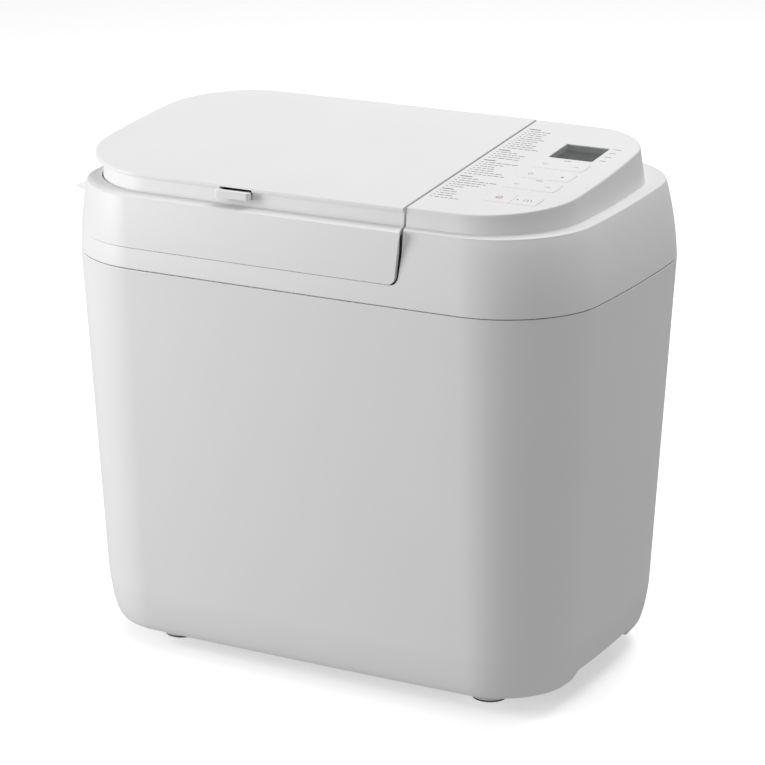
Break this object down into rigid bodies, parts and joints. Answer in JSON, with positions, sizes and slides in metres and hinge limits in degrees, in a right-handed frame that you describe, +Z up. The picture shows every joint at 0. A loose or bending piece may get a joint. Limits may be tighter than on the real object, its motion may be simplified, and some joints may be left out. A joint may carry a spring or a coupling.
{
  "type": "bread machine",
  "caption": "Countertop bread machine with a hinged lid, a dispenser lid, a sloped key panel, a belt-driven kneading blade and a lift-out pan in a heated chamber",
  "frame": {"origin": "the middle of the case's footprint, on the worktop", "axes": "X to the right as the user faces the machine, Y to the back, Z up"},
  "size_m": [0.41, 0.26, 0.3795],
  "materials": {
    "case_white": "fine satin moulding",
    "foot_white": "satin",
    "rubber_grey": "matt",
    "liner_grey": "heat-resisting moulding",
    "seal_silicone": "soft silicone",
    "key_white": "satin",
    "display_lens": "clear lens",
    "display_dark": "gloss",
    "board_green": "solder resist",
    "black_plastic": "matt",
    "steel_plate": "aluminised sheet",
    "bright_steel": "polished",
    "heater_sheath": "oxidised sheath",
    "nonstick": "satin non-stick coat",
    "cast_light": "die cast",
    "belt_rubber": "ribbed",
    "capacitor_can": "drawn can"
  },
  "bodies": {
    "base": {"lower_housing": "case_white", "bottom_cover": "liner_grey", "foot_front_left": "foot_white", "foot_front_right": "foot_white", "foot_rear_left": "foot_white", "foot_rear_right": "foot_white", "foot_pads": "rubber_grey", "upper_housing": "case_white", "lid_hinge_pins": "bright_steel", "display_window": "display_lens", "display_module": "display_dark", "control_board": "board_green", "tact_switches": "black_plastic", "oven_chamber": "steel_plate", "heater_element": "heater_sheath", "temperature_sensor": "bright_steel", "pan_seat": "cast_light", "drive_belt": "belt_rubber", "bearing_housing": "cast_light", "chassis": "steel_plate", "chamber_stands": "steel_plate", "motor": "steel_plate", "power_board": "board_green", "run_capacitor": "capacitor_can", "heat_shield": "steel_plate", "cord_gland": "black_plastic", "base_screws": "bright_steel"},
    "main_lid": {"main_lid": "case_white", "steam_visor": "case_white", "lid_liner": "liner_grey", "lid_seal": "seal_silicone", "liner_screws": "bright_steel", "nut_dispenser": "liner_grey", "yeast_dispenser": "liner_grey", "dispenser_hinge_pins": "bright_steel"},
    "dispenser_lid": {"dispenser_lid": "case_white", "dispenser_inner": "liner_grey", "dispenser_gasket": "seal_silicone"},
    "latch": {"latch_tab": "key_white"},
    "nut_flap": {"nut_flap": "liner_grey"},
    "yeast_flap": {"yeast_flap": "liner_grey"},
    "program_key": {"program_key": "key_white"},
    "timer_key": {"timer_key": "key_white"},
    "crust_key": {"crust_key": "key_white"},
    "stop_key": {"stop_key": "key_white"},
    "start_key": {"start_key": "key_white"},
    "bread_pan": {"bread_pan": "nonstick", "pan_foot": "cast_light", "pan_bushing": "cast_light"},
    "pan_handle": {"pan_handle": "bright_steel"},
    "kneader": {"drive_shaft": "bright_steel", "large_pulley": "cast_light", "blade_shaft": "bright_steel", "kneading_blade": "nonstick"},
    "motor_rotor": {"motor_shaft": "bright_steel", "motor_pulley": "cast_light"}
  },
  "joints": [
    {"name": "main_lid_hinge", "type": "hinge", "parent": "base", "child": "main_lid", "pos_m": [0, 0.1215, 0.338], "axis": [-1, 0, 0], "range_deg": [0, 88]},
    {"name": "dispenser_lid_hinge", "type": "hinge", "parent": "main_lid", "child": "dispenser_lid", "pos_m": [0, 0.105, 0.355], "axis": [-1, 0, 0], "range_deg": [0, 78]},
    {"name": "latch_slide", "type": "slide", "parent": "dispenser_lid", "child": "latch", "axis": [0, 1, 0], "range_m": [0, 0.0015], "stiffness_N_per_m": 300},
    {"name": "nut_flap_hinge", "type": "hinge", "parent": "main_lid", "child": "nut_flap", "pos_m": [-0.077, -0.076, 0.3052], "axis": [-1, 0, 0], "range_deg": [0, 75]},
    {"name": "yeast_flap_hinge", "type": "hinge", "parent": "main_lid", "child": "yeast_flap", "pos_m": [0.008, -0.066, 0.3052], "axis": [-1, 0, 0], "range_deg": [0, 75]},
    {"name": "pan_twist", "type": "hinge", "parent": "base", "child": "bread_pan", "pos_m": [-0.058, 0, 0.07], "axis": [0, 0, 1], "range_deg": [0, 7]},
    {"name": "pan_handle_swing", "type": "hinge", "parent": "bread_pan", "child": "pan_handle", "pos_m": [-0.058, 0, 0.217], "axis": [-1, 0, 0], "range_deg": [0, 150]},
    {"name": "kneader_spin", "type": "hinge", "parent": "base", "child": "kneader", "pos_m": [-0.058, 0, 0.09], "axis": [0, 0, 1], "continuous": true},
    {"name": "motor_spin", "type": "hinge", "parent": "base", "child": "motor_rotor", "pos_m": [0.128, 0, 0.05], "axis": [0, 0, 1], "continuous": true},
    {"name": "program_key_rock", "type": "hinge", "parent": "base", "child": "program_key", "pos_m": [0.1396, 0.01195, 0.36585], "axis": [0, 0.9952, 0.0975], "range_deg": [-1.2, 1.2], "stiffness_Nm_per_rad": 0.6},
    {"name": "timer_key_rock", "type": "hinge", "parent": "base", "child": "timer_key", "pos_m": [0.1396, -0.01105, 0.3636], "axis": [0, 0.9952, 0.0975], "range_deg": [-1.2, 1.2], "stiffness_Nm_per_rad": 0.6},
    {"name": "crust_key_rock", "type": "hinge", "parent": "base", "child": "crust_key", "pos_m": [0.1396, -0.03405, 0.36134], "axis": [0, 0.9952, 0.0975], "range_deg": [-1.2, 1.2], "stiffness_Nm_per_rad": 0.6},
    {"name": "stop_key_press", "type": "slide", "parent": "base", "child": "stop_key", "axis": [0, 0.0975, -0.9952], "range_m": [0, 0.0004], "stiffness_N_per_m": 2000},
    {"name": "start_key_press", "type": "slide", "parent": "base", "child": "start_key", "axis": [0, 0.0975, -0.9952], "range_m": [0, 0.0004], "stiffness_N_per_m": 2000}
  ],
  "couplings": [
    {"joint": "motor_spin", "follows": "kneader_spin", "ratio": 5}
  ]
}
